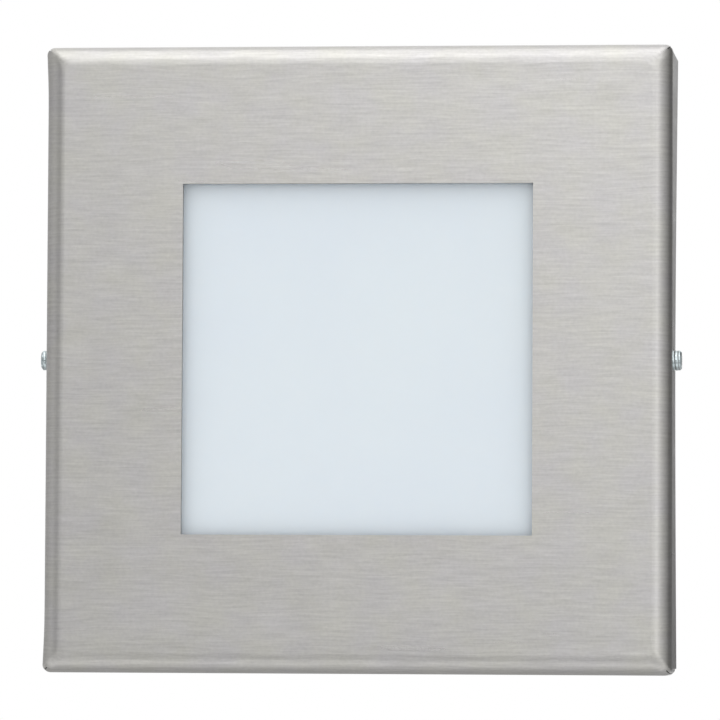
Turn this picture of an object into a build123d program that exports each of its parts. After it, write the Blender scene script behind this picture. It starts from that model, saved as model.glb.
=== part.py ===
from build123d import *
import os

# Recessed wall light. A square steel cover with an opal window is clamped by two side set screws
# onto the rim of a cast box that sits in the wall and holds the lamp and its wiring.
# Millimetres. X runs to the viewer's right, Z up and Y into the wall. The origin is the middle of
# the light on the wall's surface. A height is measured off the wall towards the viewer, so it is -Y.

# Front cover: one sheet folded into a shallow tray with a square window
cover_size = 125.0
cover_depth = 22.0
cover_wall_gap = 1.0
cover_sheet = 1.2
cover_bend = 4.0
cover_corner = 1.5
corner_seam = 0.4
corner_seam_reach = 3.0
cover_border = 27.5
window_corner = 0.4

# Opal pane, its gasket and the frame that clamps it on four weld studs
pane_lap = 5.0
pane_thickness = 3.0
pane_corner = 2.0
pane_gasket_width = 3.0
pane_gasket_thickness = 1.0
clamp_frame_lap = 3.0
clamp_frame_thickness = 1.2
clamp_frame_clearance = 3.0
clamp_frame_corner = 4.0
stud_radius = 1.5
stud_root_radius = 2.2
stud_root_height = 0.6
stud_tail = 0.6
stud_clearance = 0.25
stud_nut_flats = 5.5
stud_nut_height = 2.4

# Side set screws and the weld nuts they turn in
set_screw_radius = 2.0
set_screw_length = 6.0
set_screw_stand_out = 1.7
set_screw_setback = 9.0
set_screw_clamp_gap = 0.1
set_screw_chamfer = 0.3
set_screw_socket_flats = 2.0
set_screw_socket_depth = 2.0
cover_hole_clearance = 0.25
weld_nut_flats = 7.0
weld_nut_height = 3.2
thread_clearance = 0.05

# Cast housing: a flange on the wall, a rim inside the cover and a box in the wall
flange_thickness = 3.0
flange_cover_clearance = 0.4
flange_corner = 3.0
flange_edge = 1.0
rim_wall = 2.5
rim_corner = 4.0
rim_gasket_thickness = 2.8
rim_gasket_lap = 1.2
ledge_width = 6.5
box_wall = 2.5
box_depth = 58.0
box_corner = 5.0
box_back_round = 2.5
rib_spacing = 44.0
rib_width = 2.5
rib_height = 2.0
rib_setback = 6.0
pillar_radius = 4.0
pillar_inset = 2.5
gear_boss_radius = 3.5
gear_boss_height = 6.0
blind_hole_spare = 1.0
wall_gasket_thickness = 2.0
wall_gasket_inset = 1.0
wall_gasket_clearance = 0.6

# Slots for the screws that hold the box in the wall
fixing_slot_length = 8.0
fixing_slot_radius = 2.25
fixing_inset_x = 7.4
fixing_inset_z = 11.4

# Cable entries in the back of the box: a gland in one, a blanking plug in the other
entry_thread_radius = 8.0
entry_hole_clearance = 0.1
entry_gap = 3.0
entry_wall_gap = 1.5
entry_flats = 19.0
locknut_flats = 20.0
locknut_height = 4.5
entry_thread_tail = 1.0
entry_wall = 2.0
oring_thickness = 1.5
oring_width = 1.8
gland_hex_height = 5.0
gland_neck_length = 7.5
gland_cap_gap = 1.0
gland_cap_wall = 3.0
gland_dome_height = 4.5
gland_dome_step = 0.4
gland_dome_round = 3.0
gland_seal_wall = 2.4
gland_seal_seat = 6.0
gland_seal_stand_out = 2.0
cable_radius = 4.0
gland_cap_cable_clearance = 0.5
plug_head_height = 3.0
plug_head_overhang = 2.0
plug_head_round = 1.0
plug_slot_length = 14.0
plug_slot_width = 2.0
plug_slot_depth = 1.2

# Reflector tray: a coated dish on the ledge of the housing
tray_sheet = 1.0
tray_clearance = 0.5
tray_corner = 2.0
tray_depth = 14.0
funnel_clearance = 3.4
funnel_corner = 12.0
floor_margin = 9.0
floor_corner = 10.0
tray_screw_length = 10.0

# Lamp board on the tray's floor
board_size = 56.0
board_thickness = 1.6
board_corner = 2.0
board_screw_inset = 3.5
board_screw_length = 5.0
chip_size = 3.5
chip_height = 0.8
chip_margin = 8.5
chip_rows = 4
connector_length = 10.0
connector_width = 6.0
connector_height = 7.0
connector_clearance = 0.6

# Screws of the housing: pan heads with a cross recess
screw_radius = 1.5
screw_head_radius = 2.75
screw_head_height = 2.0
screw_head_round = 0.6
screw_clearance = 0.2
recess_width = 0.8
recess_length = 3.0
recess_depth = 1.0
gear_screw_length = 8.0

# Lamp driver on two bosses of the box
driver_length = 60.0
driver_width = 22.0
driver_height = 18.0
driver_corner = 3.0
driver_edge = 1.0
driver_earth_gap = 3.0
ear_length = 7.0
ear_width = 10.0
ear_thickness = 3.0
ear_corner = 2.0

# Terminal block on two bosses of the box
block_length = 26.0
block_width = 18.0
block_height = 15.0
block_edge = 0.8
block_entry_gap = 1.0
pole_pitch = 8.0
pole_screw_radius = 1.9
pole_screw_offset = 4.5
pole_well_clearance = 0.2
pole_well_depth = 4.0
pole_screw_height = 2.5

# Earth point and the wiring
earth_offset = 26.0
earth_rise = 8.0
earth_boss_radius = 4.5
earth_screw_radius = 2.0
earth_screw_length = 8.0
earth_head_radius = 3.5
earth_head_height = 2.4
lug_thickness = 0.8
lug_radius = 4.0
lug_barrel_radius = 1.7
lug_barrel_start = 5.0
lug_barrel_length = 5.0
wire_radius = 1.2
wire_socket_clearance = 0.15
wire_socket_depth = 6.0
wire_level = 5.0
wire_lead = 5.0
wire_shift = 4.0
wire_bend = 6.0
earth_wire_bend = 5.0
lead_radius = 0.8
lead_spacing = 4.0
lead_bend_share = 0.45

# How far a cutting shape runs past the face it opens
cut_overrun = 1.0

# Turn that sets two flats of each hexagon upright
hex_turn = 30.0

# Places that follow from the sizes above
cover_half = cover_size / 2
cover_front = cover_wall_gap + cover_depth
cover_inside = cover_front - cover_sheet
cover_inner_half = cover_half - cover_sheet
window_half = cover_half - cover_border
pane_half = window_half + pane_lap
pane_front = cover_inside - pane_gasket_thickness
pane_back = pane_front - pane_thickness
clamp_back = pane_back - clamp_frame_thickness
nut_back = clamp_back - stud_nut_height
set_screw_level = cover_front - set_screw_setback

flange_half = cover_inner_half - flange_cover_clearance
flange_back = wall_gasket_thickness
ledge = flange_back + flange_thickness
rim_front = cover_inside - rim_gasket_thickness
rim_outer_half = cover_half - set_screw_length - set_screw_clamp_gap
rim_inner_half = rim_outer_half - rim_wall
box_inner_half = rim_inner_half - ledge_width
box_outer_half = box_inner_half + box_wall
box_back = -box_depth
box_floor = box_back + box_wall
gear_seat = box_floor + gear_boss_height
wire_height = gear_seat + wire_level

clamp_outer_half = rim_inner_half - clamp_frame_clearance
stud_place = (pane_half + clamp_outer_half) / 2
pillar_place = box_inner_half - pillar_inset
fixing_x = box_inner_half - fixing_inset_x
fixing_z = box_inner_half - fixing_inset_z
locknut_corner_radius = locknut_flats / 3**0.5
entry_x = locknut_flats / 2 + entry_gap
entry_z = -box_inner_half + locknut_corner_radius + entry_wall_gap

tray_front = ledge + tray_sheet
floor_back = ledge - tray_depth
floor_front = floor_back + tray_sheet
funnel_half = box_inner_half - funnel_clearance
floor_half = board_size / 2 + floor_margin
board_front = floor_front + board_thickness
board_screw_place = board_size / 2 - board_screw_inset
chip_spacing = (board_size - 2 * chip_margin) / (chip_rows - 1)

block_z = entry_z + locknut_corner_radius + block_entry_gap + gear_boss_radius
block_top = block_z + block_width / 2
block_front = gear_seat + block_height
earth_z = block_top + earth_rise
driver_bottom = earth_z + earth_boss_radius + driver_earth_gap
driver_z = driver_bottom + driver_width / 2
driver_front = gear_seat + driver_height
earth_boss_top = wire_height - lug_barrel_radius
connector_back = floor_front - connector_height


def wall_plane(height):
    return Plane.XZ.offset(height)


def four_corners(x, z):
    return [(-x, -z), (x, -z), (-x, z), (x, z)]


def rounded_square(height, half, corner):
    with BuildSketch(wall_plane(height)) as outline:
        RectangleRounded(2 * half, 2 * half, corner)
    return outline.sketch


def square_ring(height, outer_half, outer_corner, inner_half, inner_corner):
    with BuildSketch(wall_plane(height)) as outline:
        RectangleRounded(2 * outer_half, 2 * outer_half, outer_corner)
        RectangleRounded(2 * inner_half, 2 * inner_half, inner_corner, mode=Mode.SUBTRACT)
    return outline.sketch


def discs(height, points, radius):
    with BuildSketch(wall_plane(height)) as outline:
        with Locations(*points):
            Circle(radius)
    return outline.sketch


def hexes(height, points, flats, bore):
    with BuildSketch(wall_plane(height)) as outline:
        with Locations(*points):
            RegularPolygon(flats / 2, 6, major_radius=False, rotation=hex_turn)
            Circle(bore, mode=Mode.SUBTRACT)
    return outline.sketch


# A square block whose four front edges are bent to a radius and meet in mitres
def folded_block(half, rear, front, bend):
    middle = -(front + rear) / 2
    with BuildPart() as block:
        with BuildSketch(Plane.XY):
            with Locations((0, middle)):
                Rectangle(2 * half, front - rear)
            fillet(vertices().group_by(Axis.Y)[0], bend)
        extrude(amount=half, both=True)
        with BuildSketch(Plane.YZ):
            with Locations((middle, 0)):
                Rectangle(front - rear, 2 * half)
            fillet(vertices().group_by(Axis.X)[0], bend)
        extrude(amount=half, both=True, mode=Mode.INTERSECT)
    return block.part


# Pan-head screws that seat at one height, with their shanks going towards the wall
def pan_screws(points, seat, shank_radius, shank_length, head_radius, head_height):
    with BuildPart() as group:
        extrude(discs(seat, points, head_radius), amount=head_height)
        front_edges = group.edges().filter_by(GeomType.CIRCLE).group_by(Axis.Y)[0]
        fillet(front_edges, screw_head_round)
        extrude(discs(seat, points, shank_radius), amount=-shank_length)
        with BuildSketch(wall_plane(seat + head_height)):
            with Locations(*points):
                Rectangle(recess_length, recess_width)
                Rectangle(recess_width, recess_length)
        extrude(amount=-recess_depth, mode=Mode.SUBTRACT)
    return group.part


# A wire along straight runs and tangent arcs, through points given as x, z and height
def wire(route, radius, bend):
    points = [(x, -height, z) for x, z, height in route]
    with BuildPart() as run:
        with BuildLine() as path:
            FilletPolyline(*points, radius=bend)
        with BuildSketch(Plane(origin=path.line @ 0, z_dir=path.line % 0)):
            Circle(radius)
        sweep()
    return run.part


# Front cover, with its window, the holes for the set screws and the open corner seams
cover_blank = folded_block(cover_half, cover_wall_gap, cover_front, cover_bend)
cover_hollow = folded_block(
    cover_inner_half, cover_wall_gap - cut_overrun, cover_inside, cover_bend - cover_sheet
)
with BuildPart() as front_cover:
    add(cover_blank)
    cover_outline = rounded_square(cover_wall_gap, cover_half, cover_corner)
    extrude(cover_outline, amount=cover_depth, mode=Mode.INTERSECT)
    add(cover_hollow, mode=Mode.SUBTRACT)
    window_outline = rounded_square(cover_inside - cut_overrun, window_half, window_corner)
    extrude(window_outline, amount=cover_sheet + 2 * cut_overrun, mode=Mode.SUBTRACT)
    with BuildSketch(Plane.YZ):
        with Locations((-set_screw_level, 0)):
            Circle(set_screw_radius + cover_hole_clearance)
    extrude(amount=cover_half + cut_overrun, both=True, mode=Mode.SUBTRACT)
    with BuildSketch(wall_plane(cover_wall_gap - cut_overrun)):
        for x, z in four_corners(cover_half, cover_half):
            seam_turn = 45 if x * z > 0 else -45
            with Locations((x, z)):
                Rectangle(2 * corner_seam_reach, corner_seam, rotation=seam_turn)
    extrude(amount=cover_depth - cover_sheet + cut_overrun, mode=Mode.SUBTRACT)

# Gasket between the cover's sheet and the pane
pane_gasket_half = pane_half - pane_gasket_width
with BuildPart() as pane_gasket:
    extrude(
        square_ring(pane_front, pane_half, pane_corner, pane_gasket_half, pane_corner),
        amount=pane_gasket_thickness,
    )

# Opal pane behind the window
with BuildPart() as diffuser:
    extrude(rounded_square(pane_back, pane_half, pane_corner), amount=pane_thickness)

# Frame that clamps the pane to the cover
stud_points = four_corners(stud_place, stud_place)
clamp_inner_half = pane_half - clamp_frame_lap
with BuildPart() as diffuser_frame:
    extrude(
        square_ring(clamp_back, clamp_outer_half, clamp_frame_corner, clamp_inner_half, pane_corner),
        amount=clamp_frame_thickness,
    )
    stud_holes = discs(clamp_back, stud_points, stud_radius + stud_clearance)
    extrude(stud_holes, amount=clamp_frame_thickness, mode=Mode.SUBTRACT)

# Weld studs on the inside of the cover, and their nuts
with BuildPart() as cover_studs:
    extrude(discs(cover_inside, stud_points, stud_root_radius), amount=-stud_root_height)
    extrude(discs(cover_inside, stud_points, stud_radius), amount=nut_back - stud_tail - cover_inside)

with BuildPart() as stud_nuts:
    extrude(
        hexes(nut_back, stud_points, stud_nut_flats, stud_radius + thread_clearance),
        amount=stud_nut_height,
    )

# Gasket on the inside of the cover, which the rim of the housing presses
with BuildPart() as rim_gasket:
    extrude(
        square_ring(
            rim_front,
            rim_outer_half + rim_gasket_lap,
            rim_corner + rim_gasket_lap,
            rim_inner_half - rim_gasket_lap,
            rim_corner - rim_wall,
        ),
        amount=rim_gasket_thickness,
    )


# A weld nut on the inside of one side of the cover
def weld_nut(side):
    with BuildPart() as nut:
        with BuildSketch(Plane.YZ.offset(side * cover_inner_half)):
            with Locations((-set_screw_level, 0)):
                RegularPolygon(weld_nut_flats / 2, 6, major_radius=False, rotation=90)
                Circle(set_screw_radius + thread_clearance, mode=Mode.SUBTRACT)
        extrude(amount=-side * weld_nut_height)
    return nut.part


# A set screw with a hexagon socket that stands out of one side of the cover
def set_screw(side):
    outer_end = side * (cover_half + set_screw_stand_out)
    with BuildPart() as screw:
        with BuildSketch(Plane.YZ.offset(outer_end)):
            with Locations((-set_screw_level, 0)):
                Circle(set_screw_radius)
        extrude(amount=-side * set_screw_length)
        chamfer(screw.edges().filter_by(GeomType.CIRCLE), set_screw_chamfer)
        with BuildSketch(Plane.YZ.offset(outer_end)):
            with Locations((-set_screw_level, 0)):
                RegularPolygon(set_screw_socket_flats / 2, 6, major_radius=False)
        extrude(amount=-side * set_screw_socket_depth, mode=Mode.SUBTRACT)
    return screw.part


with BuildPart() as weld_nut_left:
    add(weld_nut(-1))

with BuildPart() as weld_nut_right:
    add(weld_nut(1))

with BuildPart() as set_screw_left:
    add(set_screw(-1))

with BuildPart() as set_screw_right:
    add(set_screw(1))

# Gasket between the housing's flange and the wall
with BuildPart() as wall_gasket:
    extrude(
        square_ring(
            0,
            flange_half - wall_gasket_inset,
            flange_corner,
            box_outer_half + wall_gasket_clearance,
            box_corner,
        ),
        amount=wall_gasket_thickness,
    )

# Cast housing
pillar_points = four_corners(pillar_place, pillar_place)
driver_screw_x = (driver_length + ear_length) / 2
block_screw_x = (block_length + ear_length) / 2
driver_points = [(-driver_screw_x, driver_z), (driver_screw_x, driver_z)]
block_points = [(-block_screw_x, block_z), (block_screw_x, block_z)]
gear_points = driver_points + block_points
earth_point = [(-earth_offset, earth_z)]
gland_point = [(entry_x, entry_z)]
plug_point = [(-entry_x, entry_z)]
with BuildPart() as housing:
    extrude(rounded_square(box_back, box_outer_half, box_corner), amount=box_depth + flange_back)
    fillet(housing.faces().sort_by(Axis.Y)[-1].edges(), box_back_round)
    extrude(rounded_square(flange_back, flange_half, flange_corner), amount=flange_thickness)
    fillet(housing.faces().sort_by(Axis.Y)[0].edges(), flange_edge)
    extrude(rounded_square(ledge, rim_outer_half, rim_corner), amount=rim_front - ledge)
    with BuildSketch(wall_plane(box_back + rib_setback)):
        for place in (-rib_spacing / 2, rib_spacing / 2):
            with Locations((place, 0)):
                Rectangle(rib_width, 2 * (box_outer_half + rib_height))
            with Locations((0, place)):
                Rectangle(2 * (box_outer_half + rib_height), rib_width)
    extrude(amount=box_depth - 2 * rib_setback)

    rim_hollow = rounded_square(ledge, rim_inner_half, rim_corner - rim_wall)
    extrude(rim_hollow, amount=rim_front - ledge, mode=Mode.SUBTRACT)
    box_hollow = rounded_square(box_floor, box_inner_half, box_corner - box_wall)
    extrude(box_hollow, amount=ledge - box_floor, mode=Mode.SUBTRACT)

    extrude(discs(box_floor, pillar_points, pillar_radius), amount=ledge - box_floor)
    extrude(discs(box_floor, gear_points, gear_boss_radius), amount=gear_boss_height)
    extrude(discs(box_floor, earth_point, earth_boss_radius), amount=earth_boss_top - box_floor)

    pillar_holes = discs(ledge, pillar_points, screw_radius + thread_clearance)
    pillar_hole_depth = tray_screw_length - tray_sheet + blind_hole_spare
    extrude(pillar_holes, amount=-pillar_hole_depth, mode=Mode.SUBTRACT)
    gear_holes = discs(gear_seat, gear_points, screw_radius + thread_clearance)
    gear_hole_depth = gear_screw_length - ear_thickness + blind_hole_spare
    extrude(gear_holes, amount=-gear_hole_depth, mode=Mode.SUBTRACT)
    earth_hole = discs(earth_boss_top, earth_point, earth_screw_radius + thread_clearance)
    earth_hole_depth = earth_screw_length - lug_thickness + blind_hole_spare
    extrude(earth_hole, amount=-earth_hole_depth, mode=Mode.SUBTRACT)

    entry_holes = discs(box_back, gland_point + plug_point, entry_thread_radius + entry_hole_clearance)
    extrude(entry_holes, amount=box_wall, mode=Mode.SUBTRACT)
    with BuildSketch(wall_plane(box_back)):
        with Locations(*four_corners(fixing_x, fixing_z)):
            SlotOverall(fixing_slot_length, 2 * fixing_slot_radius)
    extrude(amount=box_wall, mode=Mode.SUBTRACT)

# Cable gland: body, seal, cap, sealing ring and locknut
oring_inner_radius = entry_thread_radius + entry_hole_clearance
oring_back = box_back - oring_thickness
hex_back = oring_back - gland_hex_height
neck_back = hex_back - gland_neck_length
thread_front = box_floor + locknut_height + entry_thread_tail
seal_radius = cable_radius + gland_seal_wall
seal_front = neck_back + gland_seal_seat
seal_back = neck_back - gland_seal_stand_out
cap_front = hex_back - gland_cap_gap
cap_back = seal_back - gland_cap_wall
with BuildPart() as gland_body:
    extrude(discs(neck_back, gland_point, entry_thread_radius), amount=thread_front - neck_back)
    extrude(hexes(hex_back, gland_point, entry_flats, entry_wall), amount=gland_hex_height)
    cable_way = discs(neck_back, gland_point, entry_thread_radius - entry_wall)
    extrude(cable_way, amount=thread_front - neck_back, mode=Mode.SUBTRACT)
    seal_way = discs(neck_back, gland_point, seal_radius + thread_clearance)
    extrude(seal_way, amount=gland_seal_seat, mode=Mode.SUBTRACT)

with BuildPart() as gland_seal:
    extrude(discs(seal_back, gland_point, seal_radius), amount=seal_front - seal_back)
    cable_bore = discs(seal_back, gland_point, cable_radius)
    extrude(cable_bore, amount=seal_front - seal_back, mode=Mode.SUBTRACT)

with BuildPart() as gland_cap:
    cap_mouth = cable_radius + gland_cap_cable_clearance
    dome_radius = entry_flats / 2 - gland_dome_step
    extrude(discs(cap_back, gland_point, dome_radius), amount=gland_dome_height)
    dome_edge = gland_cap.edges().filter_by(GeomType.CIRCLE).sort_by(Axis.Y)[-1]
    fillet(dome_edge, gland_dome_round)
    dome_front = cap_back + gland_dome_height
    extrude(hexes(dome_front, gland_point, entry_flats, cap_mouth), amount=cap_front - dome_front)
    extrude(discs(cap_back, gland_point, cap_mouth), amount=gland_cap_wall, mode=Mode.SUBTRACT)
    cap_thread = discs(seal_back, gland_point, entry_thread_radius + thread_clearance)
    extrude(cap_thread, amount=cap_front - seal_back, mode=Mode.SUBTRACT)


# A sealing ring on the outside of the box, round one entry
def entry_oring(point):
    with BuildPart() as oring:
        extrude(discs(oring_back, point, oring_inner_radius + oring_width), amount=oring_thickness)
        oring_hole = discs(oring_back, point, oring_inner_radius)
        extrude(oring_hole, amount=oring_thickness, mode=Mode.SUBTRACT)
    return oring.part


# A locknut on the inside of the box, round one entry
def entry_locknut(point):
    with BuildPart() as locknut:
        nut_outline = hexes(box_floor, point, locknut_flats, entry_thread_radius + thread_clearance)
        extrude(nut_outline, amount=locknut_height)
    return locknut.part


with BuildPart() as gland_oring:
    add(entry_oring(gland_point))

with BuildPart() as gland_locknut:
    add(entry_locknut(gland_point))

# Blanking plug in the spare entry
with BuildPart() as blanking_plug:
    plug_back = oring_back - plug_head_height
    plug_head_radius = oring_inner_radius + oring_width + plug_head_overhang
    extrude(discs(plug_back, plug_point, plug_head_radius), amount=plug_head_height)
    plug_edge = blanking_plug.edges().filter_by(GeomType.CIRCLE).sort_by(Axis.Y)[-1]
    fillet(plug_edge, plug_head_round)
    extrude(discs(oring_back, plug_point, entry_thread_radius), amount=thread_front - oring_back)
    plug_hollow = discs(oring_back, plug_point, entry_thread_radius - entry_wall)
    extrude(plug_hollow, amount=thread_front - oring_back, mode=Mode.SUBTRACT)
    with BuildSketch(wall_plane(plug_back)):
        with Locations(*plug_point):
            Rectangle(plug_slot_length, plug_slot_width)
    extrude(amount=plug_slot_depth, mode=Mode.SUBTRACT)

with BuildPart() as plug_oring:
    add(entry_oring(plug_point))

with BuildPart() as plug_locknut:
    add(entry_locknut(plug_point))

# Reflector tray: a flange on the ledge, a funnel and a floor
funnel_slope = (funnel_half - floor_half) / tray_depth
funnel_wall = tray_sheet * (1 + funnel_slope**2) ** 0.5
floor_inner_half = floor_half + funnel_slope * tray_sheet - funnel_wall
board_screw_points = four_corners(board_screw_place, board_screw_place)
with BuildPart() as reflector_tray:
    tray_half = rim_inner_half - tray_clearance
    extrude(rounded_square(ledge, tray_half, tray_corner), amount=tray_sheet)
    loft(
        [
            rounded_square(floor_back, floor_half, floor_corner),
            rounded_square(ledge, funnel_half, funnel_corner),
        ]
    )
    loft(
        [
            rounded_square(floor_front, floor_inner_half, floor_corner - tray_sheet),
            rounded_square(
                tray_front,
                funnel_half + funnel_slope * tray_sheet - funnel_wall,
                funnel_corner - tray_sheet,
            ),
        ],
        mode=Mode.SUBTRACT,
    )
    tray_holes = discs(ledge, pillar_points, screw_radius + screw_clearance)
    extrude(tray_holes, amount=tray_sheet, mode=Mode.SUBTRACT)
    floor_holes = discs(floor_back, board_screw_points, screw_radius + thread_clearance)
    extrude(floor_holes, amount=tray_sheet, mode=Mode.SUBTRACT)
    with BuildSketch(wall_plane(floor_back)):
        Rectangle(connector_length + connector_clearance, connector_width + connector_clearance)
    extrude(amount=tray_sheet, mode=Mode.SUBTRACT)

with BuildPart() as tray_screws:
    add(
        pan_screws(
            pillar_points,
            tray_front,
            screw_radius,
            tray_screw_length,
            screw_head_radius,
            screw_head_height,
        )
    )

# Lamp board with its chips, connector and screws
with BuildPart() as led_board:
    extrude(rounded_square(floor_front, board_size / 2, board_corner), amount=board_thickness)
    board_holes = discs(floor_front, board_screw_points, screw_radius + screw_clearance)
    extrude(board_holes, amount=board_thickness, mode=Mode.SUBTRACT)

with BuildPart() as led_chips:
    with BuildSketch(wall_plane(board_front)):
        with GridLocations(chip_spacing, chip_spacing, chip_rows, chip_rows):
            Rectangle(chip_size, chip_size)
    extrude(amount=chip_height)

with BuildPart() as led_connector:
    with BuildSketch(wall_plane(connector_back)):
        Rectangle(connector_length, connector_width)
    extrude(amount=connector_height)

with BuildPart() as board_screws:
    add(
        pan_screws(
            board_screw_points,
            board_front,
            screw_radius,
            board_screw_length,
            screw_head_radius,
            screw_head_height,
        )
    )

# Lamp driver: a potted case with an ear at each end
with BuildPart() as led_driver:
    with BuildSketch(wall_plane(gear_seat)):
        with Locations((0, driver_z)):
            RectangleRounded(driver_length, driver_width, driver_corner)
    extrude(amount=driver_height)
    fillet(led_driver.faces().sort_by(Axis.Y)[0].edges(), driver_edge)
    with BuildSketch(wall_plane(gear_seat)):
        with Locations((0, driver_z)):
            RectangleRounded(driver_length + 2 * ear_length, ear_width, ear_corner)
    extrude(amount=ear_thickness)
    driver_holes = discs(gear_seat, driver_points, screw_radius + screw_clearance)
    extrude(driver_holes, amount=ear_thickness, mode=Mode.SUBTRACT)

with BuildPart() as driver_screws:
    add(
        pan_screws(
            driver_points,
            gear_seat + ear_thickness,
            screw_radius,
            gear_screw_length,
            screw_head_radius,
            screw_head_height,
        )
    )

# Terminal block: three poles, each with a wire socket and a screw on both sides
pole_places = [-pole_pitch, 0, pole_pitch]
pole_screw_points = []
for pole_x in pole_places:
    pole_screw_points.append((pole_x, block_z - pole_screw_offset))
    pole_screw_points.append((pole_x, block_z + pole_screw_offset))
with BuildPart() as terminal_block:
    with BuildSketch(wall_plane(gear_seat)):
        with Locations((0, block_z)):
            Rectangle(block_length, block_width)
    extrude(amount=block_height)
    chamfer(terminal_block.faces().sort_by(Axis.Y)[0].edges(), block_edge)
    with BuildSketch(wall_plane(gear_seat)):
        with Locations((0, block_z)):
            RectangleRounded(block_length + 2 * ear_length, ear_width, ear_corner)
    extrude(amount=ear_thickness)
    block_holes = discs(gear_seat, block_points, screw_radius + screw_clearance)
    extrude(block_holes, amount=ear_thickness, mode=Mode.SUBTRACT)
    pole_wells = discs(block_front, pole_screw_points, pole_screw_radius + pole_well_clearance)
    extrude(pole_wells, amount=-pole_well_depth, mode=Mode.SUBTRACT)
    for face_z, inward in ((block_top, -1), (block_top - block_width, 1)):
        with BuildSketch(Plane.XY.offset(face_z)):
            with Locations(*[(pole_x, -wire_height) for pole_x in pole_places]):
                Circle(wire_radius + wire_socket_clearance)
        extrude(amount=inward * wire_socket_depth, mode=Mode.SUBTRACT)

with BuildPart() as terminal_screws:
    pole_well_floor = block_front - pole_well_depth
    extrude(discs(pole_well_floor, pole_screw_points, pole_screw_radius), amount=pole_screw_height)
    with BuildSketch(wall_plane(pole_well_floor + pole_screw_height)):
        with Locations(*pole_screw_points):
            Rectangle(2 * pole_screw_radius, recess_width)
    extrude(amount=-recess_depth, mode=Mode.SUBTRACT)

with BuildPart() as block_screws:
    add(
        pan_screws(
            block_points,
            gear_seat + ear_thickness,
            screw_radius,
            gear_screw_length,
            screw_head_radius,
            screw_head_height,
        )
    )

# Earth point: a ring lug under a screw on its boss
lug_barrel_x = lug_barrel_start - earth_offset
with BuildPart() as earth_lug:
    extrude(discs(earth_boss_top, earth_point, lug_radius), amount=lug_thickness)
    with BuildSketch(wall_plane(earth_boss_top)):
        with Locations((-earth_offset, earth_z)):
            Rectangle(
                lug_barrel_start + lug_barrel_length,
                2 * lug_barrel_radius,
                align=(Align.MIN, Align.CENTER),
            )
    extrude(amount=lug_thickness)
    with BuildSketch(Plane.YZ.offset(lug_barrel_x)):
        with Locations((-wire_height, earth_z)):
            Circle(lug_barrel_radius)
    extrude(amount=lug_barrel_length)
    lug_hole = discs(earth_boss_top, earth_point, earth_screw_radius + screw_clearance)
    extrude(lug_hole, amount=lug_thickness, mode=Mode.SUBTRACT)

with BuildPart() as earth_screw:
    add(
        pan_screws(
            earth_point,
            earth_boss_top + lug_thickness,
            earth_screw_radius,
            earth_screw_length,
            earth_head_radius,
            earth_head_height,
        )
    )

# Wiring: earth, neutral and live at the block, and two leads from the driver to the lamp board
earth_x, neutral_x, live_x = pole_places
socket_floor = block_top - wire_socket_depth


# A supply wire from its pole to the driver, stepped sideways on the way
def supply_wire(pole_x):
    route = [
        (pole_x, socket_floor, wire_height),
        (pole_x, block_top + wire_lead, wire_height),
        (pole_x + wire_shift, driver_bottom - wire_lead, wire_height),
        (pole_x + wire_shift, driver_bottom, wire_height),
    ]
    return wire(route, wire_radius, wire_bend)


with BuildPart() as neutral_wire:
    add(supply_wire(neutral_x))

with BuildPart() as live_wire:
    add(supply_wire(live_x))

with BuildPart() as earth_wire:
    earth_route = [
        (earth_x, socket_floor, wire_height),
        (earth_x, earth_z, wire_height),
        (lug_barrel_x + lug_barrel_length, earth_z, wire_height),
    ]
    add(wire(earth_route, wire_radius, earth_wire_bend))

lead_turn = (driver_front + connector_back) / 2
lead_bend = lead_bend_share * (connector_back - lead_turn)


# A lead from the driver's front to the back of the lamp board's connector
def lamp_lead(lead_x):
    route = [
        (lead_x, driver_z, driver_front),
        (lead_x, driver_z, lead_turn),
        (lead_x, 0, lead_turn),
        (lead_x, 0, connector_back),
    ]
    return wire(route, lead_radius, lead_bend)


with BuildPart() as led_minus_wire:
    add(lamp_lead(-lead_spacing / 2))

with BuildPart() as led_plus_wire:
    add(lamp_lead(lead_spacing / 2))

pieces = {
    "front_cover": front_cover,
    "pane_gasket": pane_gasket,
    "diffuser": diffuser,
    "diffuser_frame": diffuser_frame,
    "cover_studs": cover_studs,
    "stud_nuts": stud_nuts,
    "rim_gasket": rim_gasket,
    "weld_nut_left": weld_nut_left,
    "weld_nut_right": weld_nut_right,
    "set_screw_left": set_screw_left,
    "set_screw_right": set_screw_right,
    "wall_gasket": wall_gasket,
    "housing": housing,
    "gland_body": gland_body,
    "gland_seal": gland_seal,
    "gland_cap": gland_cap,
    "gland_oring": gland_oring,
    "gland_locknut": gland_locknut,
    "blanking_plug": blanking_plug,
    "plug_oring": plug_oring,
    "plug_locknut": plug_locknut,
    "reflector_tray": reflector_tray,
    "tray_screws": tray_screws,
    "led_board": led_board,
    "led_chips": led_chips,
    "led_connector": led_connector,
    "board_screws": board_screws,
    "led_driver": led_driver,
    "driver_screws": driver_screws,
    "terminal_block": terminal_block,
    "terminal_screws": terminal_screws,
    "block_screws": block_screws,
    "earth_lug": earth_lug,
    "earth_screw": earth_screw,
    "live_wire": live_wire,
    "neutral_wire": neutral_wire,
    "earth_wire": earth_wire,
    "led_minus_wire": led_minus_wire,
    "led_plus_wire": led_plus_wire,
}

os.makedirs("parts", exist_ok=True)
for name, piece in pieces.items():
    piece.part.label = name
    export_step(piece.part, f"parts/{name}.step")
print(f"{len(pieces)} pieces written")
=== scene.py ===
import math
import bmesh
import bpy
from mathutils import Matrix, Vector


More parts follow.
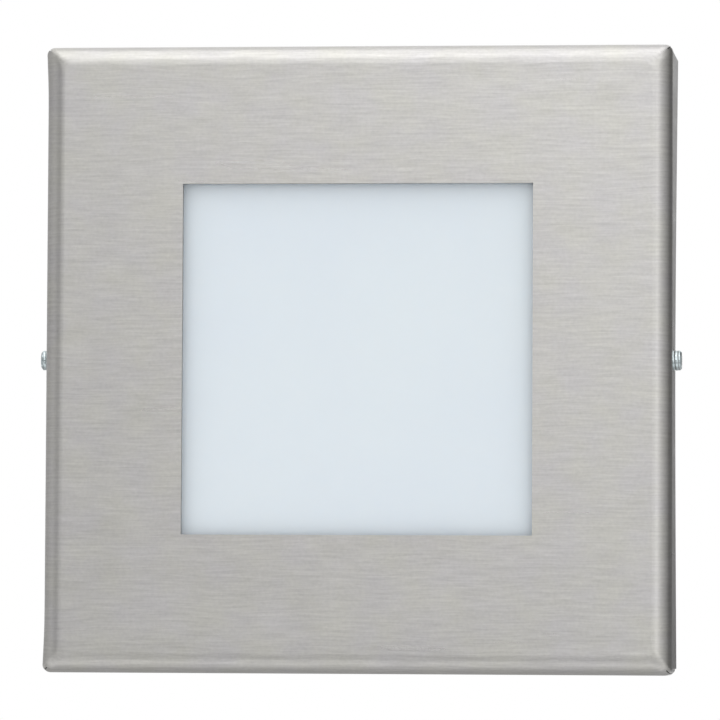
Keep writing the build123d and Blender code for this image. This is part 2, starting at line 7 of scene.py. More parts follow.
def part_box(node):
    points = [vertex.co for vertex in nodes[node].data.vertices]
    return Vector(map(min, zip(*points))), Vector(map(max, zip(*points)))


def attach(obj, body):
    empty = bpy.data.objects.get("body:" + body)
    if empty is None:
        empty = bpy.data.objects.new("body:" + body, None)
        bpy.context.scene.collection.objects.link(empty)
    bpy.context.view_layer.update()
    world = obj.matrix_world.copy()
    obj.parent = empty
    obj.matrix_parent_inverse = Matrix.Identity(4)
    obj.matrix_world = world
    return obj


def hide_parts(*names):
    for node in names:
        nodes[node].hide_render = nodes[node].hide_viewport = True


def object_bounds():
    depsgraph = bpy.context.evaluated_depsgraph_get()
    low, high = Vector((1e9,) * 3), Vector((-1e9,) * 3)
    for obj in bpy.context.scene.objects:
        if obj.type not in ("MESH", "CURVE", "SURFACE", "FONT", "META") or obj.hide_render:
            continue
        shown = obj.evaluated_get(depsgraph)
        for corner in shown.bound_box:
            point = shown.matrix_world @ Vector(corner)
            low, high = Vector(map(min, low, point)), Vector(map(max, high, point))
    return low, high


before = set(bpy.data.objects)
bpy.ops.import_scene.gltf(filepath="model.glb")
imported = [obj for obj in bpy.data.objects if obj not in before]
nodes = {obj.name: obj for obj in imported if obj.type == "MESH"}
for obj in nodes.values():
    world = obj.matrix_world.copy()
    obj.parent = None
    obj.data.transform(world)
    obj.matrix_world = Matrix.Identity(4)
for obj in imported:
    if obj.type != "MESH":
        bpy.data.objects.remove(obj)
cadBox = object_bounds()
tiny = 0.00001  # two places closer than this count as one, in metres
mergeGap = tiny / 10  # points of a mesh closer than this are merged
print("frame loaded,", len(nodes), "CAD nodes")


# Shader helpers
def addNode(tree, kind, values=None, **settings):
    node = tree.nodes.new(kind)
    for name, value in settings.items():
        setattr(node, name, value)
    for name, value in (values or {}).items():
        node.inputs[name].default_value = value
    return node


def startMaterial(name, fixed):
    material = bpy.data.materials.new(name)
    material.use_nodes = True
    shader = material.node_tree.nodes["Principled BSDF"]
    for label, value in fixed.items():
        shader.inputs[label].default_value = value
    return material, material.node_tree, shader


def startGroup(name, inputs, outputs):
    group = bpy.data.node_groups.new(name, "ShaderNodeTree")
    for label, kind in inputs:
        group.interface.new_socket(label, in_out="INPUT", socket_type=kind)
    for label in outputs:
        group.interface.new_socket(label, in_out="OUTPUT", socket_type="NodeSocketFloat")
    return group, group.nodes.new("NodeGroupInput"), group.nodes.new("NodeGroupOutput")


def colourRamp(tree, source, stops):
    ramp = addNode(tree, "ShaderNodeValToRGB")
    marks = ramp.color_ramp.elements
    while len(marks) < len(stops):
        marks.new(1.0)
    for mark, (place, colour) in zip(marks, stops):
        mark.position = place
        mark.color = (*colour, 1)
    tree.links.new(source, ramp.inputs["Fac"])
    return ramp.outputs["Color"]


wideSpan = (0.3, 0.7)  # noise keeps mostly between these values
narrowSpan = (0.35, 0.65)  # for a stronger change between two tints


def twoTints(tree, source, span, dark, light):
    return colourRamp(tree, source, ((span[0], dark), (span[1], light)))


def spread(tree, source, low, high):
    limits = {"From Min": wideSpan[0], "From Max": wideSpan[1], "To Min": low, "To Max": high}
    reach = addNode(tree, "ShaderNodeMapRange", limits)
    tree.links.new(source, reach.inputs["Value"])
    return reach.outputs["Result"]


# A Mix node lists its sockets by kind: 2 and 3 take values, 6 and 7 take colours
def mixValues(tree, share, first, second):
    mix = addNode(tree, "ShaderNodeMix", {0: share})
    tree.links.new(first, mix.inputs[2])
    tree.links.new(second, mix.inputs[3])
    return mix.outputs[0]


def multiplyColours(tree, first, second):
    mix = addNode(tree, "ShaderNodeMix", {0: 1.0}, data_type="RGBA", blend_type="MULTIPLY")
    tree.links.new(first, mix.inputs[6])
    tree.links.new(second, mix.inputs[7])
    return mix.outputs[2]


def shaded(colour, share):
    return tuple(share * part for part in colour)


def bumpFrom(tree, source, depth, shader):
    bump = addNode(tree, "ShaderNodeBump", {"Strength": 1.0, "Distance": depth})
    tree.links.new(source, bump.inputs["Height"])
    tree.links.new(bump.outputs["Normal"], shader.inputs["Normal"])


# Brushing along X of the vector: fine streaks, longer sweeps and broad bands
brushLook = {
    "swing": 45.0,  # how often the streaks stray from their line, per metre
    "swingDetail": 1.0,
    "roughness": 0.62,
    "layers": {
        # share of the scale along the grain and across it, and the detail
        "Streaks": (1.0, 1.0, 4.0),
        "Sweeps": (0.28, 0.8, 3.0),
        "Bands": (0.11, 0.11, 2.0),
    },
}


def makeBrushGroup(look):
    sockets = [
        ("Vector", "NodeSocketVector"), ("Along", "NodeSocketFloat"), ("Across", "NodeSocketFloat"),
        ("Waver", "NodeSocketFloat"),
    ]
    group, given, result = startGroup("brushedGrain", sockets, list(look["layers"]))
    stretch = addNode(group, "ShaderNodeCombineXYZ")
    group.links.new(given.outputs["Along"], stretch.inputs["X"])
    group.links.new(given.outputs["Across"], stretch.inputs["Y"])
    swing = addNode(group, "ShaderNodeTexNoise", {"Scale": look["swing"], "Detail": look["swingDetail"]})
    group.links.new(given.outputs["Vector"], swing.inputs["Vector"])
    offset = addNode(group, "ShaderNodeMath", operation="MULTIPLY")
    group.links.new(swing.outputs["Fac"], offset.inputs[0])
    group.links.new(given.outputs["Waver"], offset.inputs[1])
    sideways = addNode(group, "ShaderNodeCombineXYZ")
    group.links.new(offset.outputs["Value"], sideways.inputs["Y"])
    wavered = addNode(group, "ShaderNodeVectorMath", operation="ADD")
    group.links.new(given.outputs["Vector"], wavered.inputs[0])
    group.links.new(sideways.outputs["Vector"], wavered.inputs[1])
    laid = addNode(group, "ShaderNodeVectorMath", operation="MULTIPLY")
    group.links.new(wavered.outputs["Vector"], laid.inputs[0])
    group.links.new(stretch.outputs["Vector"], laid.inputs[1])
    for label, (along, across, detail) in look["layers"].items():
        drawn = addNode(group, "ShaderNodeVectorMath", {1: (along, across, 1)}, operation="MULTIPLY")
        group.links.new(laid.outputs["Vector"], drawn.inputs[0])
        values = {"Scale": 1.0, "Detail": detail, "Roughness": look["roughness"]}
        noise = addNode(group, "ShaderNodeTexNoise", values)
        group.links.new(drawn.outputs["Vector"], noise.inputs["Vector"])
        group.links.new(noise.outputs["Fac"], result.inputs[label])
    return group


# Grain: a fine tooth and wide soft patches
grainLook = {
    "roughness": 0.55,
    "layers": {
        # the input that scales it, and its detail
        "Grain": ("Grain Scale", 3.0),
        "Patches": ("Patch Scale", 4.0),
    },
}


def makeGrainGroup(look):
    sockets = [("Vector", "NodeSocketVector")]
    sockets += [(scale, "NodeSocketFloat") for scale, detail in look["layers"].values()]
    group, given, result = startGroup("surfaceGrain", sockets, list(look["layers"]))
    for label, (scale, detail) in look["layers"].items():
        noise = addNode(group, "ShaderNodeTexNoise", {"Detail": detail, "Roughness": look["roughness"]})
        group.links.new(given.outputs["Vector"], noise.inputs["Vector"])
        group.links.new(given.outputs[scale], noise.inputs["Scale"])
        group.links.new(noise.outputs["Fac"], result.inputs[label])
    return group


brushGroup = makeBrushGroup(brushLook)
grainGroup = makeGrainGroup(grainLook)


# A finish with a fine tooth, two tints in soft patches and an uneven gloss
def grainyFinish(name, look):
    material, tree, shader = startMaterial(name, look.get("fixed", {}))
    where = addNode(tree, "ShaderNodeTexCoord")
    scales = {"Grain Scale": look["grain"], "Patch Scale": look["patch"]}
    grain = addNode(tree, "ShaderNodeGroup", scales, node_tree=grainGroup)
    tree.links.new(where.outputs["Object"], grain.inputs["Vector"])
    colour = twoTints(tree, grain.outputs["Patches"], wideSpan, look["dark"], look["light"])
    tree.links.new(colour, shader.inputs["Base Color"])
    tree.links.new(spread(tree, grain.outputs["Grain"], *look["gloss"]), shader.inputs["Roughness"])
    bumpFrom(tree, grain.outputs["Grain"], look["tooth"], shader)
    return material


# Sheet steel with the brushing along U of the piece's own sheet map
def brushedFinish(name, look):
    fixed = {
        "Metallic": 1.0,
        "Anisotropic": look["anisotropy"],
        "Anisotropic Rotation": 0.25,  # a quarter turn, so that the gloss spreads across the grain
    }
    material, tree, shader = startMaterial(name, fixed)
    where = addNode(tree, "ShaderNodeUVMap", uv_map="sheet")
    scales = {"Along": look["along"], "Across": look["across"], "Waver": look["waver"]}
    brush = addNode(tree, "ShaderNodeGroup", scales, node_tree=brushGroup)
    tree.links.new(where.outputs["UV"], brush.inputs["Vector"])
    sizes = {"Grain Scale": look["grain"], "Patch Scale": look["patch"]}
    wide = addNode(tree, "ShaderNodeGroup", sizes, node_tree=grainGroup)
    tree.links.new(where.outputs["UV"], wide.inputs["Vector"])
    broken = mixValues(tree, look["grainShare"], brush.outputs["Streaks"], wide.outputs["Grain"])
    swept = mixValues(tree, look["sweepShare"], broken, brush.outputs["Sweeps"])
    streaks = twoTints(tree, swept, wideSpan, look["dark"], look["light"])
    # cool and warm tints in soft random patches
    tintPatches = twoTints(tree, wide.outputs["Patches"], narrowSpan, look["cool"], look["warm"])
    tree.links.new(multiplyColours(tree, streaks, tintPatches), shader.inputs["Base Color"])
    tree.links.new(spread(tree, brush.outputs["Bands"], *look["gloss"]), shader.inputs["Roughness"])
    bumpFrom(tree, brush.outputs["Streaks"], look["tooth"], shader)
    grainWay = addNode(tree, "ShaderNodeTangent", direction_type="UV_MAP", uv_map="sheet")
    tree.links.new(grainWay.outputs["Tangent"], shader.inputs["Tangent"])
    return material


steelFront = brushedFinish("brushedSteel", {
    "along": 150.0,  # streaks per metre along the grain
    "across": 2000.0,  # and across it
    "waver": 0.0014,  # how far a streak strays from its line, in metres
    "grain": 1400.0,
    "grainShare": 0.3,
    "sweepShare": 0.16,
    "patch": 110.0,
    "dark": (0.475, 0.471, 0.458),
    "light": (0.657, 0.652, 0.633),
    "cool": (0.984, 0.972, 0.996),
    "warm": (1.0, 0.992, 0.962),
    "gloss": (0.27, 0.34),
    "anisotropy": 0.55,
    "tooth": 0.0000045,
})
steelInside = brushedFinish("millSteel", {
    "along": 140.0,
    "across": 1800.0,
    "waver": 0.001,
    "grain": 1200.0,
    "grainShare": 0.3,
    "sweepShare": 0.2,
    "patch": 45.0,
    "dark": (0.46, 0.455, 0.445),
    "light": (0.52, 0.515, 0.50),
    "cool": (0.97, 0.97, 1.0),
    "warm": (1.0, 0.99, 0.97),
    "gloss": (0.36, 0.46),
    "anisotropy": 0.3,
    "tooth": 0.0000008,
})
cutSteel = grainyFinish("cutSteel", {
    "grain": 3500.0,
    "patch": 300.0,
    "dark": (0.30, 0.298, 0.29),
    "light": (0.38, 0.376, 0.366),
    "gloss": (0.46, 0.6),
    "tooth": 0.000002,
    "fixed": {"Metallic": 1.0},
})
opalPane = grainyFinish("opalPane", {
    "grain": 5200.0,
    "patch": 24.0,
    "dark": (0.79, 0.852, 0.965),
    "light": (0.81, 0.872, 0.985),
    "gloss": (0.42, 0.52),
    "tooth": 0.0000015,
    "fixed": {
        "IOR": 1.49,
        "Subsurface Weight": 1.0,
        "Subsurface Radius": (1.0, 1.0, 1.0),
        "Subsurface Scale": 0.0010,
    },
})
blackRubber = grainyFinish("blackRubber", {
    "grain": 2600.0,
    "patch": 90.0,
    "dark": (0.020, 0.020, 0.021),
    "light": (0.034, 0.034, 0.035),
    "gloss": (0.58, 0.75),
    "tooth": 0.000012,
})
brightZinc = grainyFinish("brightZinc", {
    "grain": 3800.0,
    "patch": 850.0,
    "dark": (0.52, 0.60, 0.62),
    "light": (0.72, 0.79, 0.81),
    "gloss": (0.05, 0.10),
    "tooth": 0.000002,
    "fixed": {"Metallic": 1.0},
})
millSheet = grainyFinish("millSheet", {
    "grain": 2200.0,
    "patch": 70.0,
    "dark": (0.48, 0.48, 0.475),
    "light": (0.56, 0.56, 0.55),
    "gloss": (0.30, 0.42),
    "tooth": 0.000002,
    "fixed": {"Metallic": 1.0},
})
castAluminium = grainyFinish("castAluminium", {
    "grain": 1700.0,
    "patch": 55.0,
    "dark": (0.425, 0.435, 0.445),
    "light": (0.485, 0.495, 0.505),
    "gloss": (0.46, 0.62),
    "tooth": 0.00004,
    "fixed": {"Metallic": 0.85},
})
mouldedNylon = grainyFinish("mouldedNylon", {
    "grain": 3000.0,
    "patch": 120.0,
    "dark": (0.024, 0.024, 0.026),
    "light": (0.036, 0.036, 0.038),
    "gloss": (0.36, 0.5),
    "tooth": 0.000010,
})
whitePowder = grainyFinish("whitePowder", {
    "grain": 1500.0,
    "patch": 60.0,
    "dark": (0.76, 0.76, 0.74),
    "light": (0.81, 0.81, 0.79),
    "gloss": (0.34, 0.48),
    "tooth": 0.000016,
})
solderMask = grainyFinish("solderMask", {
    "grain": 900.0,
    "patch": 130.0,
    "dark": (0.70, 0.71, 0.70),
    "light": (0.78, 0.79, 0.78),
    "gloss": (0.20, 0.30),
    "tooth": 0.000006,
    "fixed": {"Coat Weight": 0.3},
})
chipBody = grainyFinish("chipBody", {
    "grain": 5000.0,
    "patch": 400.0,
    "dark": (0.72, 0.71, 0.67),
    "light": (0.80, 0.79, 0.75),
    "gloss": (0.30, 0.40),
    "tooth": 0.000003,
})
phosphor = grainyFinish("phosphor", {
    "grain": 9000.0,
    "patch": 900.0,
    "dark": (0.78, 0.52, 0.09),
    "light": (0.86, 0.63, 0.16),
    "gloss": (0.22, 0.30),
    "tooth": 0.000002,
})
driverCase = grainyFinish("driverCase", {
    "grain": 1900.0,
    "patch": 60.0,
    "dark": (0.60, 0.60, 0.58),
    "light": (0.66, 0.66, 0.64),
    "gloss": (0.45, 0.6),
    "tooth": 0.000012,
})
naturalNylon = grainyFinish("naturalNylon", {
    "grain": 2400.0,
    "patch": 150.0,
    "dark": (0.70, 0.70, 0.63),
    "light": (0.77, 0.77, 0.70),
    "gloss": (0.34, 0.46),
    "tooth": 0.000006,
})
plainBrass = grainyFinish("plainBrass", {
    "grain": 3000.0,
    "patch": 220.0,
    "dark": (0.60, 0.44, 0.18),
    "light": (0.72, 0.55, 0.26),
    "gloss": (0.24, 0.36),
    "tooth": 0.000003,
    "fixed": {"Metallic": 1.0},
})


# Wire sleeves differ only in colour
sleeveShade = 0.85  # of the colour, in the darker patches


def sleeveFinish(name, colour):
    return grainyFinish(name, {
        "grain": 2500.0,
        "patch": 300.0,
        "dark": shaded(colour, sleeveShade),
        "light": colour,
        "gloss": (0.35, 0.48),
        "tooth": 0.000004,
    })


nodeFinishes = {
    opalPane: ["diffuser"],
    blackRubber: ["gland_seal", "gland_oring", "plug_oring"],
    brightZinc: ["tray_screws", "board_screws", "driver_screws", "block_screws", "earth_screw"],
    millSheet: ["diffuser_frame"],
    mouldedNylon: ["gland_locknut", "plug_locknut"],
    whitePowder: ["reflector_tray"],
    solderMask: ["led_board"],
    driverCase: ["led_driver"],
    naturalNylon: ["terminal_block", "led_connector"],
    plainBrass: ["terminal_screws", "earth_lug"],
    sleeveFinish("liveSleeve", (0.16, 0.07, 0.03)): ["live_wire"],
    sleeveFinish("neutralSleeve", (0.04, 0.13, 0.42)): ["neutral_wire"],
    sleeveFinish("earthSleeve", (0.16, 0.36, 0.06)): ["earth_wire"],
    sleeveFinish("minusSleeve", (0.03, 0.03, 0.03)): ["led_minus_wire"],
    sleeveFinish("plusSleeve", (0.46, 0.03, 0.02)): ["led_plus_wire"],
}
for material, names in nodeFinishes.items():
    for name in names:
        for place in nodes[name].material_slots:
            place.material = material
print("finishes ready")


# Mesh helpers
cornerTurn = 1.0  # an edge that turns by more radians than this is a corner


# Edges that turn by fewer degrees than this look round
def edgeAngles(bm, sharpFrom):
    for face in bm.faces:
        face.smooth = True
    for edge in bm.edges:
        edge.smooth = edge.is_manifold and edge.calc_face_angle() < math.radians(sharpFrom)


def addPiece(name, bm, materials, body, replaced):
    mesh = bpy.data.meshes.new(name)
    bm.to_mesh(mesh)
    bm.free()
    for material in materials:
        mesh.materials.append(material)
    piece = bpy.data.objects.new(name, mesh)
    bpy.context.scene.collection.objects.link(piece)
    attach(piece, body)
    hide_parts(*replaced)
    print("built", name, len(mesh.polygons), "faces")
    return piece


def keepFlat(piece):
    shading = piece.modifiers.new("flat faces stay flat", "WEIGHTED_NORMAL")
    shading.keep_sharp = True


def newParts(geometry, kind):
    return [part for part in geometry if isinstance(part, kind)]


# A flat square that faces the viewer
def frontSquare(bm, half, depth):
    made = bmesh.ops.create_grid(bm, x_segments=1, y_segments=1, size=half)["verts"]
    bmesh.ops.rotate(bm, verts=made, cent=(0, 0, 0), matrix=Matrix.Rotation(math.pi / 2, 3, "X"))
    bmesh.ops.translate(bm, verts=made, vec=(0, depth, 0))
    return made


# The square becomes a ring
def openRing(bm, width):
    middle = bm.faces[:]
    bmesh.ops.inset_region(bm, faces=middle, thickness=width, use_boundary=True, use_even_offset=True)
    bmesh.ops.delete(bm, geom=middle, context="FACES_ONLY")


# A flat shape that faces the viewer gets its thickness towards the wall
def thickenBack(bm, thickness):
    made = bmesh.ops.extrude_face_region(bm, geom=bm.faces[:])["geom"]
    bmesh.ops.translate(bm, verts=newParts(made, bmesh.types.BMVert), vec=(0, thickness, 0))
    bmesh.ops.recalc_face_normals(bm, faces=bm.faces[:])


def softenEdges(bm, edges, radius, steps):
    bmesh.ops.bevel(
        bm, geom=edges, offset=radius, offset_type="OFFSET", segments=steps, profile=0.5, affect="EDGES",
        clamp_overlap=True, material=-1,
    )


# Front cover: a folded sheet with a window, fine corner seams and two screw holes
coverLook = {
    "border": 0.0276,
    "sheet": 0.0012,
    "bend": 0.004,  # outside radius of the folds
    "bendSteps": 12,
    "sideCells": 45,
    "cornerRound": (0.0018, 0.0015),  # at the front and at the sides
    "cornerSteps": 15,
    "seamFrom": 58.0,  # degrees round the fold where the corner seam opens
    "windowShift": (0.00014, 0, -0.00014),  # the window is punched a little off the middle
    "holeGap": 0.0004,
    "holeRow": 0.004,  # from the hole's middle to the rows of points beside it
    "patchCells": 3,  # cells of the side that make way for the hole
    "holeSides": 48,
    "flare": 0.00034,  # the left fold swells at its ends
    "flareReach": 0.006,
    "drawnIn": 0.00012,  # the right side, at its screw
    "sprungOut": (0.00034, 0.00022),  # and at its upper and lower end
    "splayCurve": 1.6,  # the higher, the closer to the ends it springs out
    "sharpFrom": 32,
}


def buildCover(look):
    low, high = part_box("front_cover")
    half, front, rear = high.x, low.y, high.y
    bend = look["bend"]
    flatHalf = half - bend
    foldEnd = front + bend
    screwLow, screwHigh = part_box("set_screw_right")
    screwDepth = (screwLow.y + screwHigh.y) / 2
    holeRadius = (screwHigh.z - screwLow.z) / 2 + look["holeGap"]
    bm = bmesh.new()
    tightRound, wideRound = look["cornerRound"]
    frontSquare(bm, flatHalf, front)
    bmesh.ops.bevel(
        bm, geom=bm.verts[:], offset=tightRound, offset_type="OFFSET", segments=look["cornerSteps"],
        profile=0.5, affect="VERTICES", material=-1,
    )
    bmesh.ops.delete(bm, geom=bm.faces[:], context="FACES_ONLY")
    sides = [edge for edge in bm.edges if edge.calc_length() > flatHalf]
    bmesh.ops.subdivide_edges(bm, edges=sides, cuts=look["sideCells"] - 1)
    rim = bm.edges[:]
    windowCorners = frontSquare(bm, half - look["border"], front)
    bmesh.ops.translate(bm, verts=windowCorners, vec=look["windowShift"])
    bmesh.ops.delete(bm, geom=bm.faces[:], context="FACES_ONLY")
    sides = [edge for edge in bm.edges if edge not in rim]
    split = bmesh.ops.subdivide_edges(bm, edges=sides, cuts=look["sideCells"] + look["cornerSteps"] - 1)
    windowEdges = newParts(split["geom_inner"] + split["geom_split"], bmesh.types.BMEdge)
    bmesh.ops.bridge_loops(bm, edges=rim + list(set(windowEdges)))

    # From one rounded square to the next, both given as half width, corner radius and depth
    def growRim(verts, last, following):
        stretch = (following[0] - following[1]) / (last[0] - last[1])
        turnOut = following[1] / last[1]
        for vert in verts:
            for axis in (0, 2):
                size = abs(vert.co[axis])
                past = max(0.0, size - last[0] + last[1])
                size = (size - past) * stretch + past * turnOut
                vert.co[axis] = math.copysign(size, vert.co[axis])
        bmesh.ops.translate(bm, vec=(0, following[2] - last[2], 0), verts=verts)

    path = []
    for step in range(1, look["bendSteps"] + 1):
        turn = math.pi / 2 * step / look["bendSteps"]
        rounding = tightRound + (wideRound - tightRound) * step / look["bendSteps"]
        path.append((flatHalf + bend * math.sin(turn), rounding, foldEnd - bend * math.cos(turn)))
    for depth in (screwDepth - look["holeRow"], screwDepth + look["holeRow"], rear):
        path.append((half, wideRound, depth))
    last = (flatHalf, tightRound, front)
    for following in path:
        grown = bmesh.ops.extrude_edge_only(bm, edges=rim)["geom"]
        rim = [edge for edge in newParts(grown, bmesh.types.BMEdge) if edge.is_boundary]
        growRim(newParts(grown, bmesh.types.BMVert), last, following)
        last = following

    # Corner seams, open from part of the way round the fold
    seamDepth = foldEnd - bend * math.cos(math.radians(look["seamFrom"]))
    seams = []
    for face in bm.faces:
        middle = face.calc_center_median()
        if middle.y > seamDepth and abs(abs(middle.x) - abs(middle.z)) < tiny:
            seams.append(face)
    bmesh.ops.delete(bm, geom=seams, context="FACES")

    # Screw holes: on each side a patch of cells makes way for a ring
    cell = 2 * half / look["sideCells"]
    patchHalf = look["patchCells"] / 2 * cell
    quarter = look["holeSides"] // 4
    for side in (-1, 1):
        patch = []
        for face in bm.faces:
            middle = face.calc_center_median()
            onSide = abs(middle.x - side * half) < tiny
            if onSide and abs(middle.y - screwDepth) < 10 * tiny and abs(middle.z) < patchHalf:
                patch.append(face)
        frameEdges = {e for face in patch for e in face.edges if not all(f in patch for f in e.link_faces)}
        bmesh.ops.delete(bm, geom=patch, context="FACES_ONLY")
        loose = [e for e in bm.edges if not e.link_faces]
        bmesh.ops.delete(bm, geom=loose, context="EDGES")
        turned = Matrix.Translation((side * half, screwDepth, 0)) @ Matrix.Rotation(math.pi / 2, 4, "Y")
        ring = bmesh.ops.create_circle(
            bm, segments=look["holeSides"], radius=holeRadius, matrix=turned,
        )["verts"]
        loops = {e for v in ring for e in v.link_edges}
        for axis in (1, 2):
            along = [e for e in frameEdges if abs(e.verts[0].co[axis] - e.verts[1].co[axis]) > tiny]
            split = bmesh.ops.subdivide_edges(bm, edges=along, cuts=2 * quarter // len(along) - 1)
            loops.update(newParts(split["geom_inner"] + split["geom_split"], bmesh.types.BMEdge))
        bmesh.ops.bridge_loops(bm, edges=list(loops))

    bmesh.ops.recalc_face_normals(bm, faces=bm.faces[:])
    if sum(face.normal.y for face in bm.faces if face.calc_center_median().y < front + tiny) > 0:
        bmesh.ops.reverse_faces(bm, faces=bm.faces[:])

    # The map lays the sheet out flat, so the brushing runs round the folds
    def layOut(depth):
        turn = math.acos(max(-1.0, min(1.0, (foldEnd - depth) / bend)))
        return flatHalf + bend * turn + max(0.0, depth - foldEnd)

    sheetMap = bm.loops.layers.uv.new("sheet")
    for face in bm.faces:
        middle = face.calc_center_median()
        for loop in face.loops:
            x, depth, z = loop.vert.co
            if abs(middle.x) > max(flatHalf, abs(middle.z)):
                x = math.copysign(layOut(depth), x)
            elif abs(middle.z) > flatHalf:
                z = math.copysign(layOut(depth), z)
            loop[sheetMap].uv = (x, z)

    edgeAngles(bm, look["sharpFrom"])

    # The left fold swells at its ends, and the right side is drawn in at its screw
    for vert in bm.verts:
        outward = min(1.0, (abs(vert.co.x) - flatHalf) / bend)
        if outward <= 0 or abs(vert.co.z) > half + tiny:
            continue
        if vert.co.x < 0:
            toEnd = (half - abs(vert.co.z)) / look["flareReach"]
            vert.co.x -= look["flare"] * math.exp(-toEnd * toEnd) * outward ** 2
        elif vert.co.x > half - tiny:
            sprung = look["sprungOut"][0 if vert.co.z > 0 else 1] + look["drawnIn"]
            moved = sprung * abs(vert.co.z / half) ** look["splayCurve"] - look["drawnIn"]
            vert.co.x += moved * max(0.0, vert.co.y - foldEnd) / (rear - foldEnd)
    piece = addPiece("frontCover", bm, [steelFront, steelInside, cutSteel], "cover", ["front_cover"])
    wall = piece.modifiers.new("sheet thickness", "SOLIDIFY")
    wall.thickness = look["sheet"]
    wall.offset = -1
    wall.use_even_offset = True
    wall.material_offset = 1
    wall.material_offset_rim = 2
    keepFlat(piece)


buildCover(coverLook)


# Threaded rod along +X from the origin, with its thread cut as a helix
def cutThread(bm, length, radius, look):
    pitch = look["pitch"]
    before = set(bm.verts)
    verts = []
    for step in range(look["rounds"] + 1):
        along = step / look["rounds"]
        below = pitch * look["depth"] * (0.5 + 0.5 * math.cos(2 * math.pi * along)) ** look["crest"]
        verts.append(bm.verts.new((pitch * (along - 1), radius - below, 0)))
    edges = [bm.edges.new(pair) for pair in zip(verts, verts[1:])]
    turns = math.ceil(length / pitch) + 2  # the spare turns are cut off at the ends
    bmesh.ops.spin(
        bm, geom=verts + edges, cent=(0, 0, 0), axis=(1, 0, 0), dvec=(pitch / look["sides"], 0, 0),
        angle=2 * math.pi * turns, steps=look["sides"] * turns,
    )
    bmesh.ops.remove_doubles(bm, verts=[v for v in bm.verts if v not in before], dist=mergeGap)
    for place, way in ((0, -1), (length, 1)):
        rod = [v for v in bm.verts if v not in before]
        geometry = rod + [e for e in bm.edges if e.verts[0] not in before]
        geometry += [f for f in bm.faces if f.verts[0] not in before]
        bmesh.ops.bisect_plane(
            bm, geom=geometry, plane_co=(place, 0, 0), plane_no=(way, 0, 0), clear_outer=True,
        )
    rod = [v for v in bm.verts if v not in before]
    for vert in rod:
        toEnd = min(vert.co.x, length - vert.co.x)
        limit = radius - max(0.0, look["taper"] - toEnd)
        reach = math.hypot(vert.co.y, vert.co.z)
        if reach > limit:
            vert.co.y *= limit / reach
            vert.co.z *= limit / reach
    return rod


def endLoop(verts, place):
    found = {e for v in verts for e in v.link_edges if e.is_boundary}
    return [e for e in found if all(abs(v.co.x - place) < tiny for v in e.verts)]


# Side set screws: threaded all along, with a hexagon socket in the outer end
screwLook = {
    "pitch": 0.0007,
    "depth": 0.12,  # of the pitch
    "crest": 4,  # the higher, the broader the crests
    "rounds": 10,  # faces across one turn of the thread
    "sides": 36,
    "taper": 0.00035,
    "socketFlats": 0.002,
    "socketDepth": 0.002,
    "sharpFrom": 40,
}


def buildSetScrew(name, node, look):
    low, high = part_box(node)
    length = high.x - low.x
    bm = bmesh.new()
    rod = cutThread(bm, length, (high.z - low.z) / 2, look)
    bmesh.ops.edgeloop_fill(bm, edges=endLoop(rod, 0))
    turned = Matrix.Translation((length, 0, 0)) @ Matrix.Rotation(math.pi / 2, 4, "Y")
    corner = look["socketFlats"] / math.sqrt(3)
    outer = endLoop(rod, length)
    socket = bmesh.ops.create_circle(bm, segments=6, radius=corner, matrix=turned)["verts"]
    mouth = list({e for v in socket for e in v.link_edges})
    bmesh.ops.triangle_fill(bm, edges=outer + mouth, use_beauty=True)
    sunk = bmesh.ops.extrude_edge_only(bm, edges=mouth)["geom"]
    floor = newParts(sunk, bmesh.types.BMVert)
    bmesh.ops.translate(bm, verts=floor, vec=(-look["socketDepth"], 0, 0))
    bmesh.ops.edgeloop_fill(bm, edges=[e for e in newParts(sunk, bmesh.types.BMEdge) if e.is_boundary])
    for face in {face for vert in floor for face in vert.link_faces}:
        face.material_index = 1
    start = low.x
    if low.x + high.x < 0:
        bmesh.ops.rotate(bm, verts=bm.verts, cent=(0, 0, 0), matrix=Matrix.Rotation(math.pi, 3, "Z"))
        start = high.x
    place = (start, (low.y + high.y) / 2, (low.z + high.z) / 2)
    bmesh.ops.translate(bm, verts=bm.verts, vec=place)
    bmesh.ops.recalc_face_normals(bm, faces=bm.faces[:])
    edgeAngles(bm, look["sharpFrom"])
    addPiece(name, bm, [brightZinc, cutSteel], node, [node])


buildSetScrew("setScrewLeft", "set_screw_left", screwLook)
buildSetScrew("setScrewRight", "set_screw_right", screwLook)


# Weld studs inside the cover: threaded, each on a small weld root
studLook = {
    "pitch": 0.0005,
    "depth": 0.5,
    "crest": 1,
    "rounds": 4,
    "sides": 18,
    "taper": 0.0003,
    "radius": 0.0015,
    "rootRadius": 0.0022,
    "rootNeck": 0.0018,
    "rootHeight": 0.0006,
    "rootSides": 24,
    "sharpFrom": 40,
}


def buildStuds(look):
    low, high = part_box("cover_studs")
    sunk = look["rootHeight"] / 2  # each stud starts inside its root
    length = high.y - low.y - sunk
    place = high.x - look["rootRadius"]
    toRear = Matrix.Rotation(math.pi / 2, 4, "Z")
    alongX = Matrix.Translation((look["rootHeight"] / 2, 0, 0)) @ Matrix.Rotation(math.pi / 2, 4, "Y")
    bm = bmesh.new()
    for x in (-place, place):
        for z in (-place, place):
            made = cutThread(bm, length, look["radius"], look)
            for end in (0, length):
                bmesh.ops.edgeloop_fill(bm, edges=endLoop(made, end))
            bmesh.ops.translate(bm, verts=made, vec=(sunk, 0, 0))
            made += bmesh.ops.create_cone(
                bm, cap_ends=True, segments=look["rootSides"], radius1=look["rootRadius"],
                radius2=look["rootNeck"], depth=look["rootHeight"], matrix=alongX,
            )["verts"]
            bmesh.ops.transform(bm, verts=made, matrix=Matrix.Translation((x, low.y, z)) @ toRear)
    bmesh.ops.recalc_face_normals(bm, faces=bm.faces[:])
    edgeAngles(bm, look["sharpFrom"])
    addPiece("coverStuds", bm, [brightZinc], "cover", ["cover_studs"])


buildStuds(studLook)


